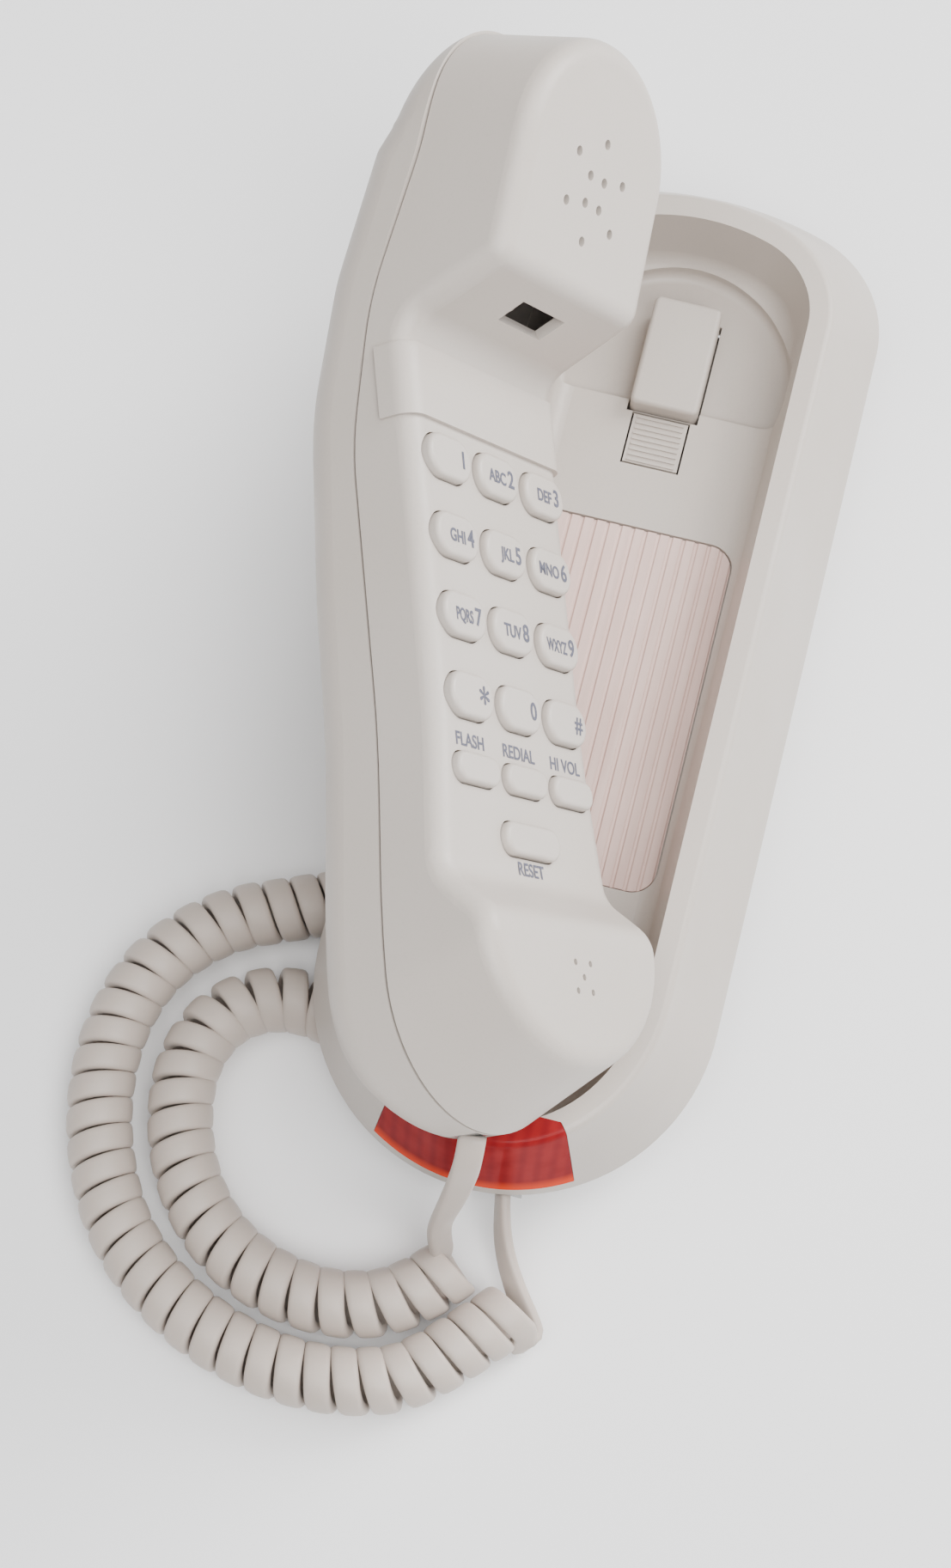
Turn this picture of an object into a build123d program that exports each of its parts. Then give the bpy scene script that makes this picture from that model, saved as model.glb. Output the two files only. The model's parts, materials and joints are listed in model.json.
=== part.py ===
from build123d import *
from math import atan2, cos, degrees, radians, sin, sqrt, tan
import os

# Slimline wall phone lying on its back with the handset off the hook.
# +Y runs towards the earpiece end, +X is the right-hand side, +Z is up from
# the wall or desk. The origin is in the middle of the bracket's back face.

# ---- base ----
LIFT = 16.0                 # depth of the wall bracket under the base
BASE_LONG = 222.8
FOOT_HALF = 40.8            # half width of the foot outline
FLARE_SIDE = 10.9           # how far the side walls lean in
FLARE_TOP = 13.4
FLARE_LOW = 3.9
RIM_LAND = 4.6              # flat land between the crease and the cavity
RIM_Z_LOW = LIFT + 28.8     # rim height at the cord end
RIM_Z_TOP = LIFT + 23.7     # rim height at the earpiece end
WALL = 2.2
FLOOR_Z = LIFT + 8.0        # cavity floor
FLOOR_LIP = 2.5             # how far the cavity walls lean in towards the floor
RECESS_R = 24.5             # round recess for the earpiece
RECESS_Y = 65.0
RECESS_DEEP = 3.2
RECESS_STEP_Y = 57.0        # straight step that cuts the recess off on its lower side
CARD_W, CARD_LONG, CARD_Y = 43.0, 76.0, -9.0
LEVER_W, LEVER_LONG, LEVER_Y = 14.4, 24.0, 67.0
LEVER_FRONT, LEVER_TALL = 4.0, 6.4     # its height over the floor, front and back
TAB_W, TAB_LONG, TAB_Y = 11.6, 11.0, 48.6
GAP = 0.4                   # clearance round a moving piece
BACK_PLATE = 2.0
CARD_RECESS = 1.3
PIN_Y, PIN_Z, PIN_D, PIN_LONG = 77.6, LIFT + 3.9, 1.2, 20.0
SWITCH_Y = 62.5
LAMP_Y = -104.4
BASE_SCREW_X, BASE_SCREW_Y = 31.0, (-58.0, 58.0)
JACK_X, JACK_Y = 7.0, -107.5
BRACKET_W, BRACKET_LOW, BRACKET_TOP = 60.0, -42.0, 92.0
BRACKET_SCREWS = ((-21, -31), (21, -31), (-21, 81), (21, 81))
FOOT_PADS = ((-21, -18), (21, -18), (-21, 68), (21, 68))
STUD_Y = (-16.3, 66.3)      # wall-plate studs, 82.6 apart
ON_BASE = (Align.CENTER, Align.CENTER, Align.MIN)

# ---- handset, in its own frame: z = 0 is the keypad face ----
HALF = 26.5                 # half width at the seam
MOUTH_HALF = 30.6
FOOT_END = -105.0
LEAN = 2.2                  # how far the side walls lean in up to the upper outline
FAR = 125.0                 # past both ends of the handset
FOLD_R, BACK_R = 4.0, 7.7
SEAM_GAP = 0.5
BAND_Y, BAND_LONG = 30.2, 13.8
PLUG_Z = -17.6
HANDSET_BOSSES = ((-66, -12, 1.0), (51, -2.5, 7.0))     # y, lowest z, highest z
HANDSET_SCREWS = ((-66, -24.0), (51, -14.9))            # y, head z
EAR_Y = 111.0               # where the slanted ear end meets the seam level
SEAM_Z = -13.0
CROWN_Z = 38.0              # height of the upper outline
SHELL = 2.2
EAR_TILT = 20.2             # earpiece face against the keypad face
NECK_Y, NECK_TOP_Y, NECK_TOP_Z = 40.8, 47.5, 21.5
MOUTH_Z = 9.0
KEY_X, KEY_Y = 16.5, 15.0   # key pitch
KEY_ROW0 = 16.4             # y of the first row of keys
KEY_W, KEY_H = 13.8, 8.4
KEY_UP = 1.7                # how far the keys stand out
FUNCTION_Y, FUNCTION_H = -42.1, 5.6
RESET_Y, RESET_W, RESET_H = -53.4, 18.4, 6.2
EAR_HOLE_Y = 65.2
MIC_Y = -79.7
HANDSET_AT = (-19.8, -6.6, 63.1 + LIFT)
HANDSET_TURN, HANDSET_PITCH, HANDSET_ROLL = 19.5, 4.8, 57.0
HANDSET = (Pos(*HANDSET_AT) * Rot(0, 0, HANDSET_TURN) * Rot(HANDSET_PITCH, 0, 0)
           * Rot(0, HANDSET_ROLL, 0))

# ---- cord ----
COIL_D = 13.4
LEAD_D = 4.2
COIL_ROUTE = [
    (-1.5, -127.5), (-7, -135), (-18, -138.6), (-32, -138), (-45, -132.5), (-54.5, -122.5),
    (-60, -110), (-61.2, -97), (-56, -86), (-44.5, -80.5), (-30, -83), (-15, -83.5), (-3, -76),
    (-1, -63.5), (-9.5, -54.5), (-22.5, -52), (-35, -57), (-48, -62.5), (-62, -68.5),
    (-72.5, -79.5), (-77.2, -93), (-77, -107.5), (-73, -121.5), (-65.5, -134.5), (-54.5, -144),
    (-41, -150.5), (-26.5, -153.4), (-12, -152.4), (1, -147), (10, -137.5)]
COIL_Z = COIL_D / 2 + 0.3
HANDSET_LEAD = [(1.6, -119.3, 53), (-1.6, -120.3, 42), (-3, -121.3, 30), (-4, -123, 18),
                (-5, -125, 8)]
BASE_LEAD = [(8.1, -115, 10.8), (10.6, -121, 6.5), (14, -127, 4.2), (17.4, -132.2, 4.4),
             (18, -136.8, 5.6), (14, -139.4, 7)]


# ---------------------------------------------------------------- base

def pill(half, y_low, y_top, depth_low, corner, crown):
    """Long rounded outline: an elliptic lower end, and a squarer upper end of three arcs."""
    y_a = y_low + depth_low
    crown_y = y_top - crown
    corner_x = half - corner
    y_b = crown_y + sqrt((crown - corner) ** 2 - corner_x ** 2)
    lean = degrees(atan2(y_b - crown_y, corner_x))
    end = EllipticalCenterArc((0, y_a), half, depth_low, start_angle=180, arc_size=180)
    right = Line((half, y_a), (half, y_b))
    right_corner = CenterArc((corner_x, y_b), corner, 0, lean)
    crown_arc = CenterArc((0, crown_y), crown, lean, 180 - 2 * lean)
    left_corner = CenterArc((-corner_x, y_b), corner, 180 - lean, lean)
    left = Line((-half, y_b), (-half, y_a))
    return make_face(Curve() + [end, right, right_corner, crown_arc, left_corner, left])


def base_outline(inset):
    return pill(FOOT_HALF - inset, -BASE_LONG / 2 + inset, BASE_LONG / 2 - inset,
                FOOT_HALF + 1 - inset, 25 - inset, 75 - inset)


def rim_outline(inset):
    half = FOOT_HALF - FLARE_SIDE
    return pill(half - inset, -BASE_LONG / 2 + FLARE_LOW + inset,
                BASE_LONG / 2 - FLARE_TOP - inset, half + 5 - inset, 22 - inset, 46 - inset)


def rim_plane(drop=0.0):
    slope = atan2(RIM_Z_LOW - RIM_Z_TOP, BASE_LONG)
    middle = (RIM_Z_LOW + RIM_Z_TOP) / 2 - drop
    return Plane(origin=(0, 0, middle), x_dir=(1, 0, 0), z_dir=(0, sin(slope), cos(slope)))


def base_body(inset, drop):
    """The flared outside of the base, or its inside when inset."""
    foot = Pos(0, 0, LIFT) * base_outline(inset)
    rim = rim_plane(drop) * rim_outline(inset)
    return loft([foot, rim], ruled=True)


def cavity(grow, floor_drop):
    """The hollow that the handset drops into, with the round earpiece recess."""
    mouth = rim_plane(-1.0) * rim_outline(RIM_LAND - grow)
    floor = Pos(0, 0, FLOOR_Z - floor_drop) * rim_outline(RIM_LAND + FLOOR_LIP - grow)
    tub = loft([floor, mouth], ruled=True)
    if grow == 0:
        tub = fillet(tub.faces().sort_by(Axis.Z)[0].edges(), 4.0)
    low = FLOOR_Z - RECESS_DEEP - floor_drop
    recess = Pos(0, RECESS_Y, low) * extrude(Circle(RECESS_R + grow), 12)
    recess -= Pos(0, RECESS_STEP_Y - grow - 25, low) * Box(80, 50, 30)
    if grow == 0:
        recess = fillet(recess.faces().sort_by(Axis.Z)[0].edges(), 2.0)
    return tub + recess


def lens_wedge(grow=0.0):
    half_in, half_out = 15.5 - grow, 27.5 - grow
    wedge = make_face(Polyline((-half_in, -99.5), (-half_out, -114), (half_out, -114),
                               (half_in, -99.5), (-half_in, -99.5)))
    return Pos(0, 0, LIFT + 3.0 + grow) * extrude(wedge, 40)


def hull_of_base():
    """Upper shell of the base: flared wall, rim, cavity and floor, open underneath."""
    outer = base_body(0, 0)
    outer = fillet(outer.faces().sort_by(Axis.Z)[-1].edges(), 1.6)
    hollow = base_body(WALL, WALL) - cavity(WALL, WALL)
    return outer - hollow - cavity(0, 0)


def card_outline(grow=0.0):
    return RectangleRounded(CARD_W + 2 * grow, CARD_LONG + 2 * grow, 5 + grow)


def base_upper_shell(wall):
    shell = wall - lens_wedge()
    for x in (-BASE_SCREW_X, BASE_SCREW_X):
        for y in BASE_SCREW_Y:
            boss = Cylinder(3, 12, align=ON_BASE) - Cylinder(1.1, 11, align=ON_BASE)
            shell += Pos(x, y, LIFT + BACK_PLATE) * boss
    shell -= Pos(0, CARD_Y, FLOOR_Z - CARD_RECESS) * extrude(card_outline(0.3), 3)
    lever_hole = Box(LEVER_W + 2 * GAP, LEVER_LONG + 2 * GAP, 12)
    shell -= Pos(0, LEVER_Y, FLOOR_Z - 4) * lever_hole
    shell -= Pos(0, TAB_Y, FLOOR_Z) * Box(TAB_W + 2 * GAP, TAB_LONG + 2 * GAP, 8)
    shell -= Pos(0, PIN_Y, PIN_Z) * Rot(0, 90, 0) * Cylinder(PIN_D / 2, PIN_LONG)
    return shell


def message_lens(wall):
    return wall & lens_wedge(0.12)


def message_lamps():
    lamp = Cylinder(1.4, 5, align=ON_BASE) + Pos(0, 0, 5) * Sphere(1.4)
    return [Pos(x, LAMP_Y, LIFT + 4.0) * lamp for x in (-8, 8)]


def lamp_board():
    return Pos(0, LAMP_Y, LIFT + 2.6) * Box(26, 3.0, 1.2, align=ON_BASE)


def number_card():
    """Corrugated insert: a thin sheet with ribs along its length."""
    ribs = 16
    pitch = CARD_W / ribs
    sheet = extrude(card_outline(), 0.5)
    for index in range(ribs):
        x = (index + 0.5) * pitch - CARD_W / 2
        rib = make_face(Polyline((-pitch / 2 + 0.2, 0), (-pitch / 2 + 0.5, 0.4),
                                 (pitch / 2 - 0.5, 0.4), (pitch / 2 - 0.2, 0),
                                 (-pitch / 2 + 0.2, 0)))
        bar = Pos(x, CARD_LONG / 2, 0.5) * extrude(Plane.XZ * rib, CARD_LONG)
        sheet += bar & extrude(card_outline(), 2)
    return Pos(0, CARD_Y, FLOOR_Z - CARD_RECESS + 0.1) * sheet


def hookswitch_lever():
    """Hollow block that the handset presses, a little lower at its free front end."""
    y_front, y_back = LEVER_Y - LEVER_LONG / 2, LEVER_Y + LEVER_LONG / 2
    low, front_high, back_high = FLOOR_Z - 3.6, FLOOR_Z + LEVER_FRONT, FLOOR_Z + LEVER_TALL
    side = make_face(Polyline((y_front, low), (y_front, front_high), (y_back, back_high),
                              (y_back, low - 0.4), (y_back - 2.6, low - 0.4), (y_front, low)))
    block = extrude(Plane.YZ * side, LEVER_W / 2, both=True)
    block = fillet(block.edges().filter_by(Axis.Z), 1.4)
    block = fillet(block.faces().sort_by(Axis.Z)[-1].edges(), 1.0)
    hollow = Pos(0, LEVER_Y - 2.8, low - 1) * Box(LEVER_W - 3.2, LEVER_LONG - 9,
                                                  front_high - low - 0.4, align=ON_BASE)
    post = Pos(0, SWITCH_Y, FLOOR_Z) * Cylinder(1.4, LEVER_FRONT - 0.5, align=ON_BASE)
    pin_hole = Pos(0, PIN_Y, PIN_Z) * Rot(0, 90, 0) * Cylinder(PIN_D / 2 + 0.1, PIN_LONG)
    return block - hollow + post - pin_hole


def lever_pin():
    return Pos(0, PIN_Y, PIN_Z) * Rot(0, 90, 0) * Cylinder(PIN_D / 2, PIN_LONG - 0.2)


def hook_microswitch():
    box = Box(6.5, 6.5, 3.2, align=ON_BASE) + Pos(0, 0, 3.2) * Cylinder(1.3, 0.9, align=ON_BASE)
    return Pos(0, SWITCH_Y, LIFT + BACK_PLATE) * box


def release_tab():
    """Ribbed finger tab that frees the wall hook."""
    plate = Box(TAB_W, TAB_LONG, 1.3)
    ribs = 9
    for index in range(ribs):
        y = (index - (ribs - 1) / 2) * TAB_LONG / ribs
        plate += Pos(0, y, 0.8) * Box(TAB_W - 1.6, 0.55, 0.5)
    return Pos(0, TAB_Y, FLOOR_Z - 0.65) * plate


def base_back_plate():
    plate = Pos(0, 0, LIFT) * extrude(base_outline(WALL + 1.5), BACK_PLATE)
    for x in (-17, 17):
        for y in (-40, 31):
            plate += Pos(x, y, LIFT + BACK_PLATE) * Cylinder(2, 1, align=ON_BASE)
    for x in (-BASE_SCREW_X, BASE_SCREW_X):
        for y in BASE_SCREW_Y:
            plate -= Pos(x, y, LIFT) * Cylinder(1.5, BACK_PLATE, align=ON_BASE)
            plate -= Pos(x, y, LIFT) * Cylinder(2.9, 1.3, align=ON_BASE)
    for x, y in BRACKET_SCREWS:
        plate -= Pos(x, y, LIFT) * Cylinder(1.4, BACK_PLATE, align=ON_BASE)
    return plate


def screw(head_d, head_t, shank_d, length):
    """Pan-head screw standing on its head, with a cross recess in it."""
    body = Cylinder(head_d / 2, head_t, align=ON_BASE)
    body += Cylinder(shank_d / 2, length, align=ON_BASE)
    cross = Box(head_d * 0.6, 0.7, 1.0) + Box(0.7, head_d * 0.6, 1.0)
    return body - cross


def base_screws():
    places = [(x, y) for x in (-BASE_SCREW_X, BASE_SCREW_X) for y in BASE_SCREW_Y]
    return [Pos(x, y, LIFT + 0.1) * screw(5.4, 1.2, 2.0, 11) for x, y in places]


def base_pcb():
    return Pos(0, -5, LIFT + BACK_PLATE + 1) * Box(42, 80, 1.2, align=ON_BASE)


def base_pcb_chips():
    top = LIFT + BACK_PLATE + 2.2
    sizes = [(-10, -28, 10, 7), (9, -22, 8, 12), (-8, -4, 12, 8), (11, 8, 7, 7), (-9, 20, 9, 14)]
    return [Pos(x, y, top) * Box(w, d, 1.3, align=ON_BASE) for x, y, w, d in sizes]


def ringer():
    case = Cylinder(13.5, 4.8, align=ON_BASE) - Cylinder(1.5, 1.5, align=ON_BASE)
    return Pos(0, 0, LIFT - 4.9) * case


def jack(width, deep, tall, mouth_w, mouth_t):
    """Modular jack facing -Y, its mouth at y = 0 and its body above z = 0."""
    body = Pos(0, deep / 2, 0) * Box(width, deep, tall, align=ON_BASE)
    mouth = Pos(0, (deep - 3) / 2, (tall - mouth_t) / 2) * Box(mouth_w, deep - 3, mouth_t,
                                                              align=ON_BASE)
    return body - mouth


def plug(width, long, tall):
    """Modular plug facing +Y with its cord end at y = 0, and a latch under it."""
    body = Pos(0, long / 2, 0) * Box(width, long, tall)
    body = fillet(body.edges().filter_by(Axis.Y), 0.6)
    latch = Pos(0, long / 2 + 1, -tall / 2 - 0.3) * Box(2.4, long - 3, 0.6)
    return body + latch


def base_handset_jack():
    return Pos(JACK_X, JACK_Y, LIFT - 8.6) * jack(11.6, 13, 8.6, 8.4, 6.8)


def base_plug():
    return Pos(JACK_X, JACK_Y - 2.0, LIFT - 4.2) * plug(7.6, 11.5, 5.4)


def line_jack():
    body = jack(13, 13, 12, 10, 8)
    return Pos(0, BRACKET_TOP, LIFT - 12.4) * Rot(0, 0, 180) * body


def keyhole():
    """Keyhole slot for a wall stud, the head's hole below the narrow slot."""
    return Circle(4.6) + Pos(0, 5.5) * SlotCenterToCenter(11, 5.0, rotation=90)


def wall_bracket():
    """Tray that lifts the base off the wall plate or desk."""
    long = BRACKET_TOP - BRACKET_LOW
    middle = (BRACKET_TOP + BRACKET_LOW) / 2
    tray = Pos(0, middle, 0) * extrude(RectangleRounded(BRACKET_W, long, 9), LIFT - 0.1)
    tray = chamfer(tray.faces().sort_by(Axis.Z)[0].edges(), 0.8)
    tray -= Pos(0, middle, 2.5) * extrude(RectangleRounded(BRACKET_W - 5, long - 5, 6.5), LIFT)
    for x, y in BRACKET_SCREWS:
        tray += Pos(x, y, 1) * Cylinder(4, LIFT - 1.1, align=ON_BASE)
        tray -= Pos(x, y, 0) * Cylinder(1.6, LIFT, align=ON_BASE)
        tray -= Pos(x, y, 0) * Cylinder(3.2, 3.0, align=ON_BASE)
    for y in STUD_Y:
        tray -= Pos(0, y, -1) * extrude(keyhole(), 5)
    tray -= Pos(0, sum(STUD_Y) / 2, -1) * extrude(RectangleRounded(22, 26, 3), 5)
    for x, y in FOOT_PADS:
        tray -= Pos(x, y, 0) * Cylinder(5.1, 1.2, align=ON_BASE)
    tray -= Pos(0, BRACKET_TOP, LIFT - 6.4) * Box(13.4, 27, 12.6)
    return tray


def bracket_pads():
    return [Pos(x, y, 0) * Cylinder(5.0, 1.2, align=ON_BASE) for x, y in FOOT_PADS]


def bracket_screws():
    return [Pos(x, y, 1.6) * screw(5.6, 1.4, 2.7, 16) for x, y in BRACKET_SCREWS]


# ---------------------------------------------------------------- handset shape

def handset_outline(half, mouth_half, y_foot, foot_deep, y_ear):
    """Plan of the handset: an arched ear end, straight sides, a wider mouth end."""
    y_wide, y_arch, y_straight = y_foot + foot_deep, y_ear - half, -26.0
    arch = CenterArc((0, y_arch), half, 0, 180)
    left = Line((-half, y_arch), (-half, y_straight))
    left_wide = Spline([(-half, y_straight), (-mouth_half, y_wide)],
                       tangents=[(0, -1), (0, -1)])
    foot = EllipticalCenterArc((0, y_wide), mouth_half, foot_deep, start_angle=180,
                               arc_size=180)
    right_wide = Spline([(mouth_half, y_wide), (half, y_straight)],
                        tangents=[(0, 1), (0, 1)])
    right = Line((half, y_straight), (half, y_arch))
    return make_face(Curve() + [arch, left, left_wide, foot, right_wide, right])


def front_walls(inset):
    """Front half of the handset before its face is cut: walls that lean in upwards."""
    low = handset_outline(HALF - inset, MOUTH_HALF - inset, FOOT_END + inset, 27 - inset,
                          EAR_Y - inset)
    crown = handset_outline(HALF - LEAN - inset, MOUTH_HALF - LEAN - inset, -82 + inset,
                            19 - inset, 91.5 - inset)
    return loft([Pos(0, 0, SEAM_Z) * low, Pos(0, 0, CROWN_Z) * crown], ruled=True)


def back_walls(inset):
    low = handset_outline(HALF - inset, MOUTH_HALF - inset, FOOT_END + inset, 27 - inset,
                          101.5 - inset)
    return Pos(0, 0, -34) * extrude(low, 56)


def side_face(points, radii):
    """A closed outline in the handset's side view, as a face in the YZ plane."""
    return Plane.YZ * make_face(FilletPolyline(*points, radius=radii, close=True))


def across(face):
    """A side view carried right across the handset's width."""
    return Pos(-60, 0, 0) * extrude(face, 120, dir=(1, 0, 0))


def mitred(points, inset):
    """The corners of a clockwise outline after each side moves inwards."""
    corners = []
    for before, point, after in zip(points[-1:] + points[:-1], points, points[1:] + points[:1]):
        side_in = (Vector(*point) - Vector(*before)).normalized()
        side_out = (Vector(*after) - Vector(*point)).normalized()
        normal_in = Vector(side_in.Y, -side_in.X)
        normal_out = Vector(side_out.Y, -side_out.X)
        bisector = normal_in + normal_out
        corner = Vector(*point) + bisector * (inset / (1 + normal_in.dot(normal_out)))
        corners.append((corner.X, corner.Y))
    return corners


def full_profile(inset=0.0):
    """Side view of the whole handset, running on past both of its ends."""
    slope = tan(radians(EAR_TILT))
    top = [(-FAR, MOUTH_Z), (-70, MOUTH_Z), (-61.5, 0), (NECK_Y, 0),
           (NECK_TOP_Y, NECK_TOP_Z), (FAR, NECK_TOP_Z + (FAR - NECK_TOP_Y) * slope)]
    back = [(FAR, 22), (81, -1), (77, -5.2), (54, -17), (29, -25.2), (-6, -27.6),
            (-90, -29.5), (-FAR, -18)]
    return side_face(mitred(top + back, inset), [1, 8, 7, 6.5, 5, 1, 1, 2, 2, 40, 60, 80, 30, 1])


def above_seam(drop=0.0):
    """The space above the seam, which climbs towards the ear end."""
    points = [(-FAR, SEAM_Z), (20, SEAM_Z), (47, -6.6), (77, 9.2), (FAR, 19), (FAR, 80),
              (-FAR, 80)]
    return Pos(0, 0, -drop) * across(side_face(points, [1, 60, 60, 60, 1, 1, 1]))


def face_edges(body):
    """Edges where the front's walls meet its face."""
    edges = []
    for edge in body.edges():
        middle = edge.position_at(0.5)
        start, end = edge.position_at(0), edge.position_at(1)
        upright = abs(start.X - end.X) < 1.6 and abs(start.Z - end.Z) > 15 and middle.Y > 60
        under_ear = middle.Y > 45 and middle.Z < (12 if middle.Y < 70 else 26)
        across_face = edge.geom_type == GeomType.LINE
        if edge.bounding_box().min.Z > -SHELL - 0.5 and not (upright or under_ear or across_face):
            edges.append(edge)
    return edges


def back_edges(body):
    """Edges where the back's walls meet its underside."""
    edges = []
    for edge in body.edges():
        middle, box = edge.position_at(0.5), edge.bounding_box()
        across_back = edge.geom_type == GeomType.LINE and abs(middle.X) < 1
        high = middle.Z > 14 or box.max.Z > 16 or (middle.Y < 45 and middle.Z > -15)
        if not (across_back or high or box.max.Z - box.min.Z > 20):
            edges.append(edge)
    return edges


def front_envelope(inset=0.0):
    return front_walls(inset) & across(full_profile(inset))


def back_envelope(inset, radius):
    body = back_walls(inset) & across(full_profile(inset))
    return fillet(back_edges(body), radius)


def ear_plane(depth=0.0):
    """Plane of the earpiece face, or of a level that far under it."""
    z = NECK_TOP_Z + (EAR_HOLE_Y - NECK_TOP_Y) * tan(radians(EAR_TILT))
    normal = (0, -sin(radians(EAR_TILT)), cos(radians(EAR_TILT)))
    return Plane(origin=(0, EAR_HOLE_Y + depth * sin(radians(EAR_TILT)),
                         z - depth * cos(radians(EAR_TILT))), x_dir=(1, 0, 0), z_dir=normal)


def key_places():
    """Each key's name, centre and size on the keypad face."""
    rows = [("1", "2", "3"), ("4", "5", "6"), ("7", "8", "9"), ("star", "0", "pound")]
    places = []
    for row, names in enumerate(rows):
        for column, name in enumerate(names):
            places.append((name, (column - 1) * KEY_X, KEY_ROW0 - row * KEY_Y, KEY_W, KEY_H))
    for column, name in enumerate(("flash", "redial", "volume")):
        places.append((name, (column - 1) * KEY_X, FUNCTION_Y, KEY_W, FUNCTION_H))
    return places + [("reset", 0, RESET_Y, RESET_W, RESET_H)]


def key(width, height):
    """Oval key with a rounded top and a flange that keeps it in the shell."""
    cap = Pos(0, 0, -SHELL - 0.4) * extrude(SlotOverall(width, height), KEY_UP + SHELL + 0.4)
    cap = fillet(cap.faces().sort_by(Axis.Z)[-1].edges(), 0.9)
    flange = Pos(0, 0, -SHELL - 1.2) * extrude(SlotOverall(width, height + 1.4), 0.9)
    return cap + flange


def name_band():
    """Plain saddle across the neck, its two ends turned down the side walls."""
    proud = 0.8
    body = front_walls(-proud) & across(full_profile(-proud))
    body &= Pos(0, BAND_Y, -6.5) * Box(80, BAND_LONG, 20, align=ON_BASE)
    folds = [edge for edge in body.edges()
             if edge.position_at(0.5).Z > 0.4 and abs(edge.position_at(0.5).X) > 24]
    body = fillet(folds, FOLD_R + 0.4)
    return body - front_envelope(0.9)


def front_features():
    """Openings in the front shell: keys, earpiece, microphone and hanging slot."""
    cuts = [Pos(x, y, -6) * extrude(SlotOverall(w + 0.6, h + 0.6), 9)
            for _, x, y, w, h in key_places()]
    ear_places = [Pos(x, y) for x in (-2.5, 2.5) for y in (-2.6, 2.6)]
    ear_places += [Pos(9.6 * cos(radians(a)), 9.6 * sin(radians(a)))
                   for a in range(24, 384, 60)]
    for place in ear_places:
        cuts.append(ear_plane(4) * place * Cylinder(0.95, 12))
    for x, y in ((-2.6, 2.6), (2.6, 2.6), (0, 0), (-2.6, -2.6), (2.6, -2.6)):
        cuts.append(Pos(x, MIC_Y + y, MOUTH_Z) * Cylinder(0.6, 8))
    neck_lean = degrees(atan2(NECK_TOP_Z, NECK_TOP_Y - NECK_Y))
    cuts.append(Pos(0, 44.4, 11.8) * Rot(neck_lean, 0, 0) * Box(14.8, 6.2, 8))
    return cuts


def handset_front_shell(band):
    outer = front_envelope()
    outer = fillet(face_edges(outer), FOLD_R) & above_seam()
    shell = outer - front_envelope(SHELL)
    for y, low, high in HANDSET_BOSSES:
        boss = Cylinder(3, high - low, align=ON_BASE)
        shell += Pos(0, y, low) * boss
        shell -= Pos(0, y, low) * Cylinder(1.1, high - low - 1.5, align=ON_BASE)
    for cut in front_features():
        shell -= cut
    return shell - band


def handset_back_shell():
    outer = back_envelope(0, BACK_R)
    shell = outer - back_envelope(SHELL, BACK_R - SHELL)
    for y, head in HANDSET_SCREWS:
        shell += outer & (Pos(0, y, head - 12) * Cylinder(4.4, 36, align=ON_BASE))
    shell -= above_seam(SEAM_GAP)
    for y, head in HANDSET_SCREWS:
        shell -= Pos(0, y, head - 12) * Cylinder(3.0, 13.6, align=ON_BASE)
        shell -= Pos(0, y, head) * Cylinder(1.4, 20, align=ON_BASE)
    return shell - Pos(0, FOOT_END, PLUG_Z) * Box(9.0, 14, 7.2)


def handset_screws():
    return [Pos(0, y, head) * screw(5.4, 1.5, 2.0, 18) for y, head in HANDSET_SCREWS]


def keypad_mat():
    mat = Pos(0, -13, -7.2) * Box(46, 92, 1.0, align=ON_BASE)
    for _, x, y, width, height in key_places():
        mat += Pos(x, y, -6.2) * Cylinder(2.6, 1.2, align=ON_BASE)
    return mat


def keypad_pcb():
    return Pos(0, -13, -8.6) * Box(46, 92, 1.3, align=ON_BASE)


def receiver_gasket():
    return ear_plane(SHELL + 1.7) * (Cylinder(16.5, 1.5, align=ON_BASE)
                                     - Cylinder(13, 1.5, align=ON_BASE))


def receiver_capsule():
    body = Cylinder(16, 6, align=ON_BASE) + Cylinder(9, 9, align=(Align.CENTER, Align.CENTER,
                                                                 Align.MAX))
    return ear_plane(SHELL + 1.8 + 6) * body


def microphone():
    return Pos(0, MIC_Y, MOUTH_Z - SHELL - 5.2) * Cylinder(4.85, 4.8, align=ON_BASE)


def microphone_boot():
    ring = Cylinder(6.6, 5.6, align=ON_BASE) - Pos(0, 0, 0.8) * Cylinder(4.9, 4.8, align=ON_BASE)
    return Pos(0, MIC_Y, MOUTH_Z - SHELL - 6.0) * ring


def ballast_weight():
    return Pos(0, 4, -23) * Box(30, 44, 9, align=ON_BASE)


def handset_jack():
    return Pos(0, FOOT_END + 6.0, PLUG_Z - 4.2) * jack(11.6, 13, 8.4, 8.4, 6.8)


def handset_plug():
    return Pos(0, FOOT_END + 0.4, PLUG_Z) * plug(7.6, 11.5, 5.4)


# ---------------------------------------------------------------- cord

def route_path(points):
    """Straight runs joined by the largest tangent arcs that they allow."""
    radii = []
    for before, point, after in zip(points, points[1:], points[2:]):
        run_in, run_out = Vector(point) - Vector(before), Vector(after) - Vector(point)
        half_turn = radians(run_in.get_angle(run_out)) / 2
        radii.append(0.45 * min(run_in.length, run_out.length) / tan(half_turn))
    print("radii", [round(radius, 1) for radius in radii])
    return FilletPolyline(*points, radius=radii)


def tube(points, diameter):
    path = route_path(points)
    section = Plane(origin=path @ 0, z_dir=path % 0) * Circle(diameter / 2)
    body = sweep(section, path=path, transition=Transition.TRANSFORMED)
    print("volume", round(body.volume), "section x length",
          round(path.length * radians(180) * diameter ** 2 / 4), "length", round(path.length))
    return body


def handset_exit():
    """Where the cord leaves the handset's plug, and the way that it points."""
    start = (HANDSET * Pos(0, FOOT_END + 0.4, PLUG_Z)).position
    ahead = (HANDSET * Pos(0, FOOT_END - 6.0, PLUG_Z)).position
    return tuple(start), tuple(ahead)


def handset_lead():
    start, ahead = handset_exit()
    return tube([start, ahead] + HANDSET_LEAD, LEAD_D)


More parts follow.
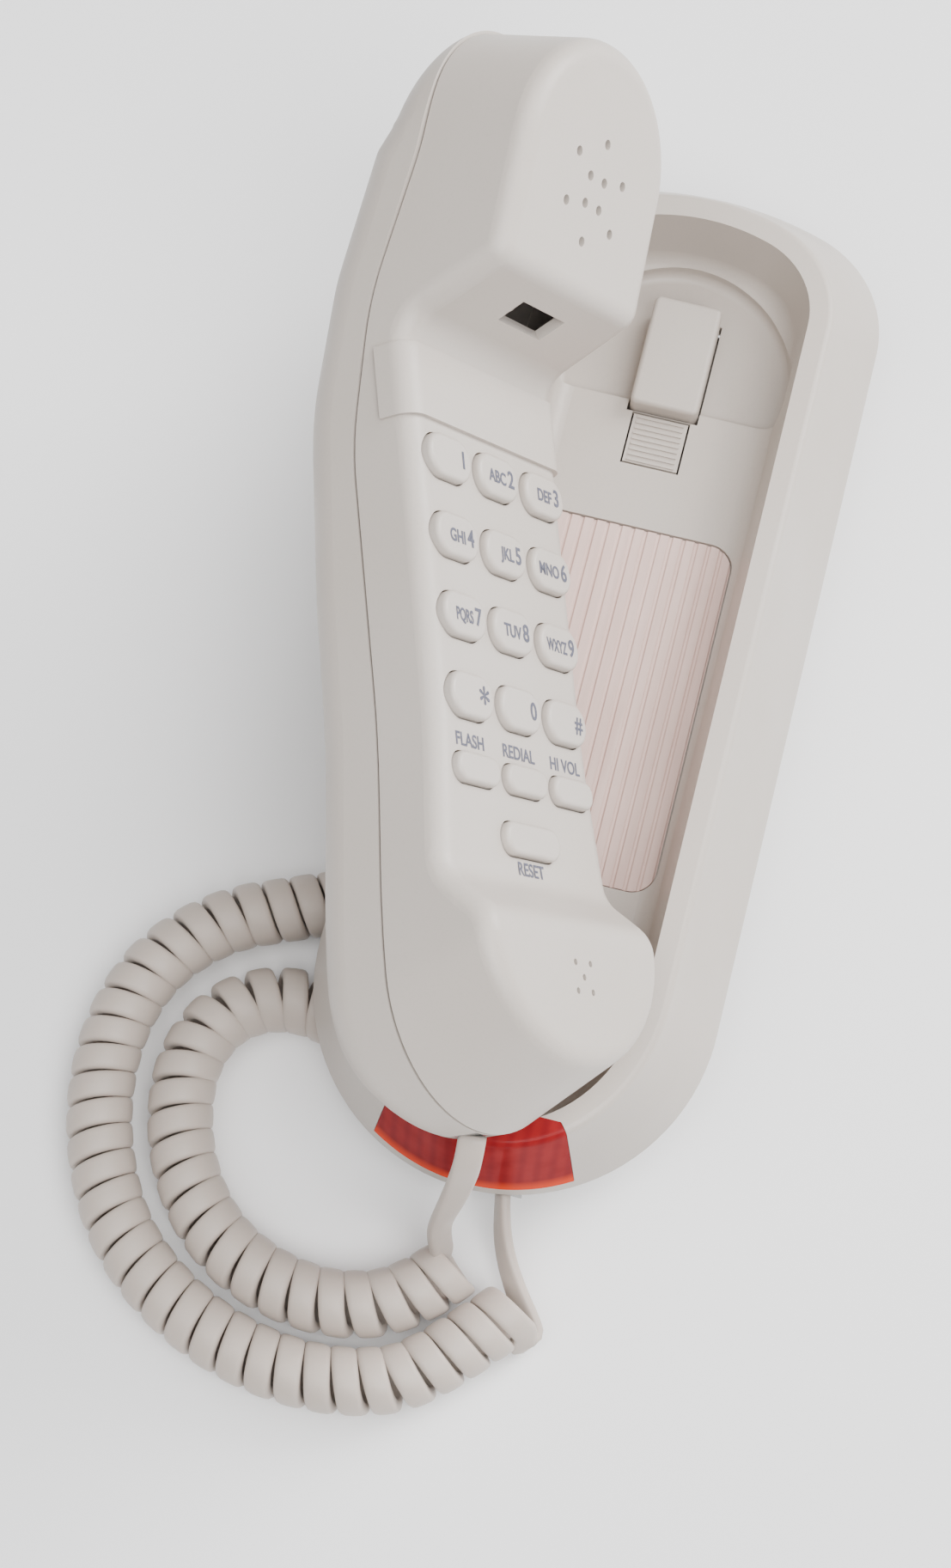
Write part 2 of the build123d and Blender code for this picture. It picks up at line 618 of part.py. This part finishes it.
def cord_coil():
    return tube([(x, y, COIL_Z) for x, y in COIL_ROUTE], COIL_D)


def base_lead():
    start = (JACK_X, JACK_Y - 2.0, LIFT - 4.2)
    return tube([start] + BASE_LEAD, LEAD_D)


# ---------------------------------------------------------------- hand-in

def in_place(shape):
    """A handset piece moved from the handset's frame to where it lies."""
    return HANDSET * shape


def build_nodes():
    wall = hull_of_base()
    band = name_band()
    nodes = {
        "base_upper_shell": base_upper_shell(wall), "message_lens": message_lens(wall),
        "message_lamps": message_lamps(), "lamp_board": lamp_board(),
        "number_card": number_card(), "hookswitch_lever": hookswitch_lever(),
        "hookswitch_pin": lever_pin(), "hook_microswitch": hook_microswitch(),
        "release_tab": release_tab(), "base_back_plate": base_back_plate(),
        "base_screws": base_screws(), "base_pcb": base_pcb(), "base_pcb_chips": base_pcb_chips(),
        "ringer": ringer(), "base_handset_jack": base_handset_jack(), "line_jack": line_jack(),
        "wall_bracket": wall_bracket(), "bracket_pads": bracket_pads(),
        "bracket_screws": bracket_screws(), "base_plug": base_plug(),
        "handset_lead": handset_lead(), "cord_coil": cord_coil(), "base_lead": base_lead(),
    }
    handset = {
        "handset_front_shell": handset_front_shell(band),
        "handset_back_shell": handset_back_shell(), "name_band": band,
        "handset_screws": handset_screws(), "keypad_mat": keypad_mat(),
        "keypad_pcb": keypad_pcb(), "receiver_gasket": receiver_gasket(),
        "receiver_capsule": receiver_capsule(), "microphone": microphone(),
        "microphone_boot": microphone_boot(), "ballast_weight": ballast_weight(),
        "handset_jack": handset_jack(), "handset_plug": handset_plug(),
    }
    for name, x, y, width, height in key_places():
        handset["key_" + name] = Pos(x, y, 0) * key(width, height)
    for name, shape in handset.items():
        if isinstance(shape, list):
            nodes[name] = [in_place(piece) for piece in shape]
        else:
            nodes[name] = in_place(shape)
    return nodes


def main():
    os.makedirs("parts", exist_ok=True)
    for name, shape in build_nodes().items():
        if isinstance(shape, list):
            shape = Compound(children=shape)
        export_step(shape, f"parts/{name}.step")


main()
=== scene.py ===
import bpy
import json
from math import cos, pi, sin
from mathutils import Matrix, Vector
from mathutils.bvhtree import BVHTree


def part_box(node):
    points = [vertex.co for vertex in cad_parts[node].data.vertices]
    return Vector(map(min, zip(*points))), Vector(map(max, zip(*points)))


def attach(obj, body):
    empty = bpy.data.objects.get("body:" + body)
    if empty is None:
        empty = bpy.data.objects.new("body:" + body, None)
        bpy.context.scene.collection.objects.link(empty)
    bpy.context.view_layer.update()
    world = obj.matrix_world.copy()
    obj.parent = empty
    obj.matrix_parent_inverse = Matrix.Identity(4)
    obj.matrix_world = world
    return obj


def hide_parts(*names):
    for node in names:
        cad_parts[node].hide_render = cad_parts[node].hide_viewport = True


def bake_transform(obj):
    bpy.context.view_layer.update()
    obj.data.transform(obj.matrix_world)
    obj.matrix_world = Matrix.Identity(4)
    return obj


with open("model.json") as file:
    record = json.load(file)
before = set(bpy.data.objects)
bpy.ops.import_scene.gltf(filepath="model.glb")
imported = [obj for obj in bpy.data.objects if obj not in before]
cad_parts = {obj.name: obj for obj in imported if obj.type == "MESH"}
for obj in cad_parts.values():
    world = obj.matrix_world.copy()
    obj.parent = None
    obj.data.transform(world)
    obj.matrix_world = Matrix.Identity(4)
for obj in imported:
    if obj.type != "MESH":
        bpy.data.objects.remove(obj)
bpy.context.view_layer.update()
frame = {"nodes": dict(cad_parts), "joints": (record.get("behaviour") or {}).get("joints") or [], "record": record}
MM = 0.001

# ------------------------------------------------------------------ camera

CAMERA_AT = Vector((26.5, -205.6, 594.8)) * MM
CAMERA_RIGHT = Vector((0.9693, 0.2460, -0.0012))
CAMERA_UP = Vector((-0.2345, 0.9252, 0.2982))
CAMERA_BACK = Vector((0.0744, -0.2888, 0.9545))
LENS = 68.22                # on a 36 mm long side


def make_camera():
    data = bpy.data.cameras.new("camera")
    data.lens, data.sensor_width = LENS, 36
    data.clip_start, data.clip_end = 0.05, 20
    camera = bpy.data.objects.new("camera", data)
    bpy.context.collection.objects.link(camera)
    turn = Matrix((CAMERA_RIGHT, CAMERA_UP, CAMERA_BACK)).transposed()
    camera.matrix_world = Matrix.Translation(CAMERA_AT) @ turn.to_4x4()
    bpy.context.scene.camera = camera


# ------------------------------------------------------------------ helpers

def mesh_piece(name, points, faces, material):
    mesh = bpy.data.meshes.new(name)
    mesh.from_pydata([tuple(p) for p in points], [], faces)
    mesh.validate()
    mesh.update()
    mesh.shade_smooth()
    mesh.materials.append(material)
    piece = bpy.data.objects.new(name, mesh)
    bpy.context.collection.objects.link(piece)
    return piece


class Graph:
    """A material's nodes, with short ways to add the ones used here."""

    def __init__(self, name, **shader):
        self.material = bpy.data.materials.new(name)
        self.material.use_nodes = True
        self.tree = self.material.node_tree
        self.shader = self.tree.nodes["Principled BSDF"]
        for socket, value in shader.items():
            self.shader.inputs[socket.replace("_", " ")].default_value = value
        self.place = self.node("ShaderNodeTexCoord").outputs["Object"]

    def node(self, kind, **settings):
        made = self.tree.nodes.new(kind)
        for key, value in settings.items():
            setattr(made, key, value)
        return made

    def link(self, start, end):
        self.tree.links.new(start, end)

    def noise(self, scale, detail=2.0, place=None):
        made = self.node("ShaderNodeTexNoise")
        made.inputs["Scale"].default_value = scale
        made.inputs["Detail"].default_value = detail
        self.link(place or self.place, made.inputs["Vector"])
        return made.outputs["Fac"]

    def stretched(self, scale):
        made = self.node("ShaderNodeMapping")
        made.inputs["Scale"].default_value = scale
        self.link(self.place, made.inputs["Vector"])
        return made.outputs["Vector"]

    def ramp(self, value, low, high, start=0.3, end=0.7):
        made = self.node("ShaderNodeValToRGB")
        made.color_ramp.elements[0].position = start
        made.color_ramp.elements[1].position = end
        made.color_ramp.elements[0].color = (*low, 1)
        made.color_ramp.elements[1].color = (*high, 1)
        self.link(value, made.inputs["Fac"])
        return made.outputs["Color"]

    def span(self, value, low, high, start=0.3, end=0.7):
        made = self.node("ShaderNodeMapRange")
        for socket, number in zip(("From Min", "From Max", "To Min", "To Max"),
                                  (start, end, low, high)):
            made.inputs[socket].default_value = number
        self.link(value, made.inputs["Value"])
        return made.outputs["Result"]

    def mix(self, share, one, other, blend="MIX"):
        """Mixes two colours; sockets 0, 6 and 7 are the node's factor and its two colours."""
        made = self.node("ShaderNodeMix", data_type="RGBA", blend_type=blend)
        for socket, value in ((made.inputs[0], share), (made.inputs[6], one),
                              (made.inputs[7], other)):
            if isinstance(value, bpy.types.NodeSocket):
                self.link(value, socket)
            else:
                socket.default_value = value
        return made.outputs[2]

    def bump(self, height, depth, strength=1.0):
        made = self.node("ShaderNodeBump")
        made.inputs["Strength"].default_value = strength
        made.inputs["Distance"].default_value = depth
        self.link(height, made.inputs["Height"])
        self.link(made.outputs["Normal"], self.shader.inputs["Normal"])

    def colour(self, output):
        self.link(output, self.shader.inputs["Base Color"])

    def roughness(self, output):
        self.link(output, self.shader.inputs["Roughness"])


def shade(colour, factor):
    return tuple(channel * factor for channel in colour)


# ------------------------------------------------------------------ materials

HOUSING = (0.510, 0.462, 0.420)
CORD = (0.480, 0.415, 0.365)


def moulded(name, colour, rough=0.42, grain=0.00003, warm=(1.0, 0.985, 0.965)):
    """Satin moulded plastic: fine spark-eroded grain, faint yellowing and handling marks."""
    graph = Graph(name, IOR=1.48, Specular_IOR_Level=0.45, Coat_Weight=0.06,
                  Coat_Roughness=0.35)
    aged = tuple(c * w for c, w in zip(colour, warm))
    cloudy = graph.ramp(graph.noise(14, 3), shade(colour, 1.015), shade(aged, 0.965))
    specks = graph.ramp(graph.noise(1900, 1), (0.97, 0.97, 0.97), (1, 1, 1), 0.25, 0.45)
    graph.colour(graph.mix(1.0, cloudy, specks, "MULTIPLY"))
    graph.roughness(graph.span(graph.noise(60, 4), rough - 0.05, rough + 0.07))
    graph.bump(graph.noise(2600, 3), grain, 0.55)
    return graph.material


def card_material():
    graph = Graph("card_paper", Roughness=0.62, Specular_IOR_Level=0.3)
    threads = graph.noise(500, 3, graph.stretched((1, 0.06, 1)))
    tone = graph.ramp(threads, (0.64, 0.455, 0.405), (0.74, 0.555, 0.50))
    graph.colour(graph.mix(0.25, tone, graph.ramp(graph.noise(40, 3), (0.58, 0.42, 0.38),
                                                  (0.78, 0.60, 0.54))))
    graph.bump(threads, 0.00005, 0.6)
    return graph.material


LENS_PAINTED_GLOW = (0.0012, 0.0048)    # the painted glow (painted light in the lens colour) fades out between these heights over its lower edge


def lens_material(low):
    """Translucent red lens with a painted orange glow (painted light) along its lower edge, and moulded ribs."""
    graph = Graph("lens_red", Roughness=0.35, IOR=1.46, Specular_IOR_Level=0.0,
                  Coat_Weight=0.10, Coat_Roughness=0.06,
                  Subsurface_Weight=0.10,
                  Subsurface_Radius=(0.002, 0.0003, 0.0002), Subsurface_Scale=1.0)
    height = graph.node("ShaderNodeSeparateXYZ")
    graph.link(graph.place, height.inputs[0])
    painted_glow_share = graph.span(height.outputs[2], 1.0, 0.0, low + LENS_PAINTED_GLOW[0],
                      low + LENS_PAINTED_GLOW[1])
    ribs = graph.node("ShaderNodeTexWave", wave_type="BANDS", bands_direction="X")
    ribs.inputs["Scale"].default_value = 110
    ribs.inputs["Distortion"].default_value = 0.6
    graph.link(graph.place, ribs.inputs["Vector"])
    body = graph.mix(graph.span(graph.noise(160, 3), 0.0, 1.0), (0.24, 0.012, 0.014, 1),
                     (0.31, 0.020, 0.022, 1))
    body = graph.mix(graph.span(ribs.outputs["Fac"], 0.0, 0.30, 0.2, 1.0), body,
                     (0.12, 0.004, 0.010, 1))
    # painted light: the orange glow over the lower edge is painted into the base colour, not emitted
    graph.colour(graph.mix(painted_glow_share, body, (0.70, 0.050, 0.012, 1)))
    graph.bump(ribs.outputs["Fac"], 0.00008, 0.25)
    return graph.material


def lamp_material():
    graph = Graph("lamp_tinted", Roughness=0.1, IOR=1.49, Transmission_Weight=0.4)
    graph.colour(graph.ramp(graph.noise(300, 2), (0.55, 0.05, 0.02), (0.8, 0.12, 0.05)))
    return graph.material


def cord_material():
    graph = Graph("cord_vinyl", IOR=1.5, Specular_IOR_Level=0.4, Sheen_Weight=0.08,
                  Subsurface_Weight=0.06, Subsurface_Radius=(0.002, 0.0012, 0.0008),
                  Subsurface_Scale=1.0)
    graph.colour(graph.ramp(graph.noise(45, 4), shade(CORD, 0.95), shade(CORD, 1.05)))
    graph.roughness(graph.span(graph.noise(130, 3), 0.40, 0.52))
    graph.bump(graph.noise(1500, 3), 0.00002, 0.5)
    return graph.material


def steel_material():
    graph = Graph("zinc_plated_steel", Metallic=1.0)
    streaks = graph.noise(400, 4, graph.stretched((1, 1, 0.1)))
    graph.colour(graph.ramp(streaks, (0.50, 0.50, 0.52), (0.68, 0.68, 0.69)))
    graph.roughness(graph.span(streaks, 0.24, 0.40))
    return graph.material


def board_material():
    """Green solder mask with copper tracks showing through."""
    graph = Graph("circuit_board", Roughness=0.35, Coat_Weight=0.3)
    tracks = graph.node("ShaderNodeTexBrick")
    tracks.inputs["Scale"].default_value = 260
    tracks.inputs["Mortar Size"].default_value = 0.03
    graph.link(graph.place, tracks.inputs["Vector"])
    graph.colour(graph.mix(tracks.outputs["Fac"], (0.012, 0.11, 0.035, 1),
                           (0.05, 0.24, 0.08, 1)))
    graph.bump(tracks.outputs["Fac"], 0.00003)
    return graph.material


def dark_material(name, tone, rough):
    graph = Graph(name, Specular_IOR_Level=0.4)
    graph.colour(graph.ramp(graph.noise(220, 4), (tone * 0.75,) * 3, (tone * 1.3,) * 3))
    graph.roughness(graph.span(graph.noise(500, 3), rough - 0.07, rough + 0.07))
    graph.bump(graph.noise(1800, 3), 0.00003, 0.5)
    return graph.material


def clear_material():
    graph = Graph("clear_plug_plastic", Roughness=0.08, IOR=1.55, Transmission_Weight=0.75)
    graph.colour(graph.ramp(graph.noise(200, 2), (0.80, 0.80, 0.77), (0.90, 0.90, 0.88)))
    return graph.material


def print_material():
    graph = Graph("grey_print", Specular_IOR_Level=0.3)
    graph.colour(graph.ramp(graph.noise(2500, 3), (0.075, 0.078, 0.11), (0.13, 0.13, 0.17)))
    graph.roughness(graph.span(graph.noise(900, 2), 0.5, 0.65))
    return graph.material


def make_materials():
    low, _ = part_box("message_lens")
    return {
        "housing": moulded("housing_plastic", HOUSING),
        "keys": moulded("key_plastic", shade(HOUSING, 1.02), 0.36, 0.00002),
        "card": card_material(), "lens": lens_material(low.z),
        "lamp": lamp_material(), "cord": cord_material(), "clear_plug": clear_material(),
        "steel": steel_material(), "board": board_material(),
        "black_parts": dark_material("black_moulding", 0.035, 0.42),
        "rubber": dark_material("dark_rubber", 0.05, 0.72), "print": print_material(),
    }


def dress_cad_parts(materials):
    slots = {part["node"]: part["material_slot"] for part in frame["record"]["subparts"]}
    for name, node in frame["nodes"].items():
        node.data.materials.clear()
        node.data.materials.append(materials[slots[name]])


# ------------------------------------------------------------------ cord

COIL_D, RIBBON_W, RIBBON_T, PITCH = 13.3 * MM, 5.2 * MM, 3.0 * MM, 5.7 * MM
STEPS_PER_TURN = 26
COIL_Z = 7.0
HELD_TURNS = 0.5            # the coil's start stays in place for this much of a turn
OPENING_TURNS = 0.3         # and opens out to its full radius over this much
OPENING_SHARE = 0.6         # from this share of it
END_TRIM = 0.05             # part of a turn left off at the coil's end
SECTION_SIDES, SECTION_POWER = 16, 0.55
LEAD_SHARE = 0.78           # thickness of the plain leads against the coil's ribbon
LEAD_STEP, JOIN_STEP = 1.2 * MM, 0.8 * MM
# The way that the ribbon's width runs at the two ends of each lead.
HANDSET_LEAD_WAYS = Vector((-1, -0.25, 0)), Vector((-0.5, -0.55, 0.67))
BASE_LEAD_WAYS = Vector((0.5, 0.5, 0.7)), Vector((0.2, 0.3, 0.95))
COIL_ROUTE = [
    (2.0, -124.5), (-5.5, -133.5), (-18, -138.6), (-32, -138), (-45, -132.5), (-54.5, -122.5),
    (-60, -110), (-61.2, -97), (-56, -86), (-44.5, -80.5), (-30, -83), (-15, -83.5), (-3, -76),
    (-1, -63.5), (-9.5, -54.5), (-22.5, -52), (-35, -57), (-48, -62.5), (-62, -68.5),
    (-72.5, -79.5), (-77.2, -93), (-77, -107.5), (-73, -121.5), (-65.5, -134.5), (-54.5, -144),
    (-41, -150.5), (-26.5, -153.4), (-12, -152.4), (1, -147), (13.7, -131.4)]
HANDSET_LEAD = [(0.8, -109.0, 60.8), (1.2, -113.6, 58.8), (0.2, -116.8, 50), (-1.2, -118.8, 38),
                (-2.7, -120.4, 26), (-2.9, -121.6, 17), (-1.9, -123.4, 10.5)]
BASE_LEAD = [(7, -109.5, 11.8), (7.8, -113.5, 10.4), (9.2, -118.2, 8), (11.4, -122.8, 6.4),
             (14.8, -128, 5.2), (18, -132, 3.8), (19.9, -135, 2.9), (18.2, -136.6, 4.2)]


def smooth_line(name, route):
    """Points along a smooth spline that has the route's points as its control points."""
    curve = bpy.data.curves.new(name, "CURVE")
    curve.dimensions = "3D"
    curve.resolution_u = 24
    spline = curve.splines.new("NURBS")
    spline.points.add(len(route) - 1)
    for point, place in zip(spline.points, route):
        point.co = (*(Vector(place) * MM), 1)
    spline.order_u = 3
    spline.use_endpoint_u = True
    carrier = bpy.data.objects.new(name, curve)
    bpy.context.collection.objects.link(carrier)
    bpy.context.view_layer.update()
    sampled = bpy.data.meshes.new_from_object(carrier)
    line = [vertex.co.copy() for vertex in sampled.vertices]
    bpy.data.objects.remove(carrier)
    return line


def walk(line, step):
    """Evenly spaced (point, direction) pairs along a line, a whole number of steps."""
    lengths = [0.0]
    for one, other in zip(line, line[1:]):
        lengths.append(lengths[-1] + (other - one).length)
    count = max(2, round(lengths[-1] / step))
    places, index = [], 0
    for number in range(count + 1):
        goal = lengths[-1] * number / count
        while index < len(line) - 2 and lengths[index + 1] < goal:
            index += 1
        share = (goal - lengths[index]) / max(lengths[index + 1] - lengths[index], 1e-9)
        places.append((line[index].lerp(line[index + 1], share),
                       (line[index + 1] - line[index]).normalized()))
    return places, lengths[-1]


def ease(value):
    value = min(1.0, max(0.0, value))
    return value * value * (3 - 2 * value)


def ribbon_section():
    """Outline of the flat cord: a bar with well rounded long edges and a soft crown."""
    half_w, half_t = RIBBON_W / 2, RIBBON_T / 2
    outline = []
    for index in range(SECTION_SIDES):
        angle = 2 * pi * index / SECTION_SIDES
        x, y = cos(angle), sin(angle)
        outline.append((half_w * abs(x) ** SECTION_POWER * (1 if x > 0 else -1),
                        half_t * abs(y) ** SECTION_POWER * (1 if y > 0 else -1)))
    return outline


def coil_line():
    """Helix round the coil's route: each point with the way that the ribbon's width runs.

    It starts close in, on the route's inner side, opens out, and ends on its outer side."""
    places, length = walk(smooth_line("coil_route", [(x, y, COIL_Z) for x, y in COIL_ROUTE]),
                          PITCH / STEPS_PER_TURN)
    turns = round(length / PITCH) - END_TRIM
    radius = (COIL_D - RIBBON_T) / 2
    made = []
    for index in range(len(places)):
        turned = turns * index / (len(places) - 1)
        late = round(max(0.0, HELD_TURNS - turned) * STEPS_PER_TURN)
        centre, along = places[min(len(places) - 1, index + late)]
        phase = pi + 2 * pi * turned
        across = Vector((0, 0, 1)).cross(along).normalized()
        spoke = across * cos(phase) + Vector((0, 0, 1)) * sin(phase)
        opened = OPENING_SHARE + (1 - OPENING_SHARE) * ease(turned / OPENING_TURNS)
        made.append((centre + spoke * radius * opened, along))
    return made


def lead_points(name, route):
    places, _ = walk(smooth_line(name, route), LEAD_STEP)
    return [point for point, _ in places]


def lead_thickness(place, coil_count):
    """Share of the coil's ribbon thickness, a little less in the plain leads."""
    inside = min(place, coil_count - 1 - place) / STEPS_PER_TURN
    return LEAD_SHARE + (1 - LEAD_SHARE) * ease(inside)


def swept_ribbon(name, line, shares, material):
    """The flat cord as one closed mesh along (point, width direction) pairs."""
    outline, points, faces = ribbon_section(), [], []
    sides = len(outline)
    for index, ((point, width_way), share) in enumerate(zip(line, shares)):
        before, after = line[max(0, index - 1)][0], line[min(len(line) - 1, index + 1)][0]
        along = (after - before).normalized()
        wide = (width_way - along * width_way.dot(along)).normalized()
        thick = along.cross(wide)
        points += [point + wide * x + thick * y * share for x, y in outline]
    for ring in range(len(line) - 1):
        for side in range(sides):
            one, other = ring * sides + side, ring * sides + (side + 1) % sides
            faces.append((one, other, other + sides, one + sides))
    faces.append(tuple(range(sides))[::-1])
    last = (len(line) - 1) * sides
    faces.append(tuple(last + side for side in range(sides)))
    return mesh_piece(name, points, faces, material)


def bridge(before, after):
    """Smooth run from the end of one line to the start of the next, its width turning."""
    (start, width_a), (end, width_b) = before[-1], after[0]
    reach = (end - start).length
    leave = (start - before[-2][0]).normalized() * reach
    arrive = (after[1][0] - end).normalized() * reach
    count = max(2, round(reach / JOIN_STEP))
    made = []
    for index in range(1, count):
        t = index / count
        point = (start * (2 * t ** 3 - 3 * t ** 2 + 1) + leave * (t ** 3 - 2 * t ** 2 + t)
                 + end * (3 * t ** 2 - 2 * t ** 3) + arrive * (t ** 3 - t ** 2))
        made.append((point, width_a.lerp(width_b, ease(t)).normalized()))
    return made


def turned_widths(points, first_way, last_way):
    """A lead whose flat side turns steadily from one way to the other."""
    count = len(points) - 1
    return [(point, first_way.lerp(last_way, ease(index / count)).normalized())
            for index, point in enumerate(points)]


def make_cord(materials):
    coil = coil_line()
    first = turned_widths(lead_points("handset_lead_route", HANDSET_LEAD), *HANDSET_LEAD_WAYS)
    last = turned_widths(lead_points("base_lead_route", BASE_LEAD)[::-1], *BASE_LEAD_WAYS)
    lead_in = first + bridge(first, coil)
    lead_out = bridge(coil, last) + last
    line = lead_in + coil + lead_out
    slim = [lead_thickness(index - len(lead_in), len(coil)) for index in range(len(line))]
    cord = swept_ribbon("coiled_cord", line, slim, materials["cord"])
    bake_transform(cord)
    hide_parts("handset_lead", "cord_coil", "base_lead")


# ------------------------------------------------------------------ lettering

PRINT_RISE = 0.07 * MM      # how far the lettering stands over the surface under it
PRINT_DEPTH = 0.015 * MM
RAY_HEIGHT = 5 * MM         # the surface is looked for from this far over the lettering
KEY_MARGIN = 2.0 * MM       # from the key's right-hand edge to its digit
DIGIT_SIZE, DIGIT_SQUEEZE, DIGIT_BOLD = 4.7 * MM, 0.95, 0.09 * MM
STAR_SIZE, STAR_DROP = 7.6 * MM, 1.1 * MM
LETTER_SIZE, LETTER_BOLD = 3.4 * MM, 0.08 * MM
LETTER_SQUEEZE = {3: 0.90, 4: 0.70}     # by the number of letters on the key
LETTERS_LEFT, LETTERS_DROP = 2.85, 0.35     # mm from the digit's place
LABEL_SIZE, LABEL_SQUEEZE, LABEL_BOLD = 3.5 * MM, 0.98, 0.06 * MM
LABELS = (("flash", "FLASH", 0.4, 5.2), ("redial", "REDIAL", 0.4, 5.2),
          ("volume", "HI VOL", 0.4, 5.2), ("reset", "RESET", 0.0, -5.4))   # mm left and up


def key_frame():
    """The keypad's own axes, from the keys: x right, y up, z out of its face."""
    def middle(name):
        corners = [vertex.co for vertex in frame["nodes"]["key_" + name].data.vertices]
        return sum(corners, Vector()) / len(corners)
    joint = next(j for j in frame["joints"] if j["name"] == "press_5")
    out = -Vector(joint["axis"]).normalized()
    right = middle("3") - middle("1")
    right = (right - out * right.dot(out)).normalized()
    up = out.cross(right)
    return right, up, out


def key_centre(name, axes):
    """Middle of a key's top face, and half its width, in the keypad's axes."""
    corners = [vertex.co for vertex in frame["nodes"]["key_" + name].data.vertices]
    spans = [(min(c.dot(a) for c in corners), max(c.dot(a) for c in corners)) for a in axes]
    right, up, out = axes
    place = (right * sum(spans[0]) / 2 + up * sum(spans[1]) / 2 + out * spans[2][1])
    return place, (spans[0][1] - spans[0][0]) / 2


def lay_on(mesh, place, out, ground):
    """Moves each point of a print along its normal way on to the ground mesh."""
    tree = BVHTree.FromPolygons([vertex.co for vertex in ground.vertices],
                                [tuple(face.vertices) for face in ground.polygons])
    for vertex in mesh.vertices:
        rise = (vertex.co - place).dot(out)
        flat = vertex.co - out * rise
        hit = tree.ray_cast(flat + out * RAY_HEIGHT, -out)[0]
        if hit:
            vertex.co = hit + out * (rise + PRINT_RISE)


def lettering(name, text, place, axes, size, squeeze, material, body, under, align="CENTER",
              bold=0.0):
    """Generic lettering laid on the surface of the node under it, riding on a body."""
    curve = bpy.data.curves.new(name, "FONT")
    curve.body, curve.size = text, size
    curve.align_x, curve.align_y = align, "CENTER"
    curve.extrude, curve.offset = PRINT_DEPTH, bold
    piece = bpy.data.objects.new(name + "_text", curve)
    bpy.context.collection.objects.link(piece)
    right, up, out = axes
    turn = Matrix((right * squeeze, up, out)).transposed().to_4x4()
    piece.matrix_world = Matrix.Translation(place) @ turn
    bpy.context.view_layer.update()
    mesh = bpy.data.meshes.new_from_object(piece)
    mesh.transform(piece.matrix_world)
    lay_on(mesh, place, out, frame["nodes"][under].data)
    mesh.materials.clear()
    mesh.materials.append(material)
    bpy.data.objects.remove(piece)
    printed = bpy.data.objects.new(name, mesh)
    bpy.context.collection.objects.link(printed)
    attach(printed, body)


KEY_PRINT = {"1": ("", "1"), "2": ("ABC", "2"), "3": ("DEF", "3"), "4": ("GHI", "4"),
             "5": ("JKL", "5"), "6": ("MNO", "6"), "7": ("PQRS", "7"), "8": ("TUV", "8"),
             "9": ("WXYZ", "9"), "star": ("", "*"), "0": ("", "0"), "pound": ("", "#")}


def print_keys(material, axes):
    right, up, _ = axes
    for key, (letters, digit) in KEY_PRINT.items():
        place, half_w = key_centre(key, axes)
        body, node = "key_body_" + key, "key_" + key
        edge = place + right * (half_w - KEY_MARGIN)
        if digit == "*":
            lettering("print_star", "*", edge - up * STAR_DROP, axes, STAR_SIZE, 1.0, material,
                      body, node, "RIGHT", LETTER_BOLD)
            continue
        lettering("print_" + key, digit, edge, axes, DIGIT_SIZE, DIGIT_SQUEEZE, material, body,
                  node, "RIGHT", DIGIT_BOLD)
        if letters:
            start = edge - right * LETTERS_LEFT * MM - up * LETTERS_DROP * MM
            lettering("letters_" + key, letters, start, axes, LETTER_SIZE,
                      LETTER_SQUEEZE[len(letters)], material, body, node, "RIGHT", LETTER_BOLD)


def print_labels(material, axes):
    right, up, _ = axes
    for key, text, left, away in LABELS:
        place, _ = key_centre(key, axes)
        place = place + up * away * MM - right * left * MM
        lettering("label_" + key, text, place, axes, LABEL_SIZE, LABEL_SQUEEZE, material,
                  "handset", "handset_front_shell", bold=LABEL_BOLD)


# ------------------------------------------------------------------ studio

FLOOR_HALF = 6.0            # metres
SKY_STRENGTH = 0.32
LIGHT_TARGET = (0, 0, 0.03)
LIGHTS = (      # name, place, diameter, watts
    ("key", (0.46, -0.46, 1.13), 0.8, 14.5), ("side_right", (0.80, 0.80, 0.65), 0.8, 23.5),
    ("over_right", (0.46, 0.46, 1.13), 0.8, 6.0), ("over_left", (-0.46, -0.46, 1.13), 0.8, 5.5),
    ("overhead", (0.0, 0.0, 1.3), 0.9, 5.5))


def make_floor():
    graph = Graph("studio_floor", Roughness=0.9, Specular_IOR_Level=0.1)
    graph.colour(graph.ramp(graph.noise(2, 2), (0.90, 0.90, 0.905), (0.92, 0.92, 0.925)))
    side = FLOOR_HALF
    floor = mesh_piece("floor", [(-side, -side, 0), (side, -side, 0), (side, side, 0),
                                 (-side, side, 0)], [(0, 1, 2, 3)], graph.material)


def area_light(name, place, size, power):
    data = bpy.data.lights.new(name, "AREA")
    data.shape, data.size, data.energy = "DISK", size, power
    light = bpy.data.objects.new(name, data)
    bpy.context.collection.objects.link(light)
    turn = (Vector(LIGHT_TARGET) - Vector(place)).to_track_quat("-Z", "Y").to_matrix()
    light.matrix_world = Matrix.Translation(place) @ turn.to_4x4()


def make_lights():
    world = bpy.data.worlds.new("studio")
    bpy.context.scene.world = world
    world.use_nodes = True
    sky = world.node_tree.nodes["Background"]
    sky.inputs["Color"].default_value = (1, 1, 1, 1)
    sky.inputs["Strength"].default_value = SKY_STRENGTH
    for name, place, size, power in LIGHTS:
        area_light(name, place, size, power)


# ------------------------------------------------------------------ making

make_camera()
materials = make_materials()
make_cord(materials)
dress_cad_parts(materials)
keypad_axes = key_frame()
print_keys(materials["print"], keypad_axes)
print_labels(materials["print"], keypad_axes)
make_floor()
make_lights()
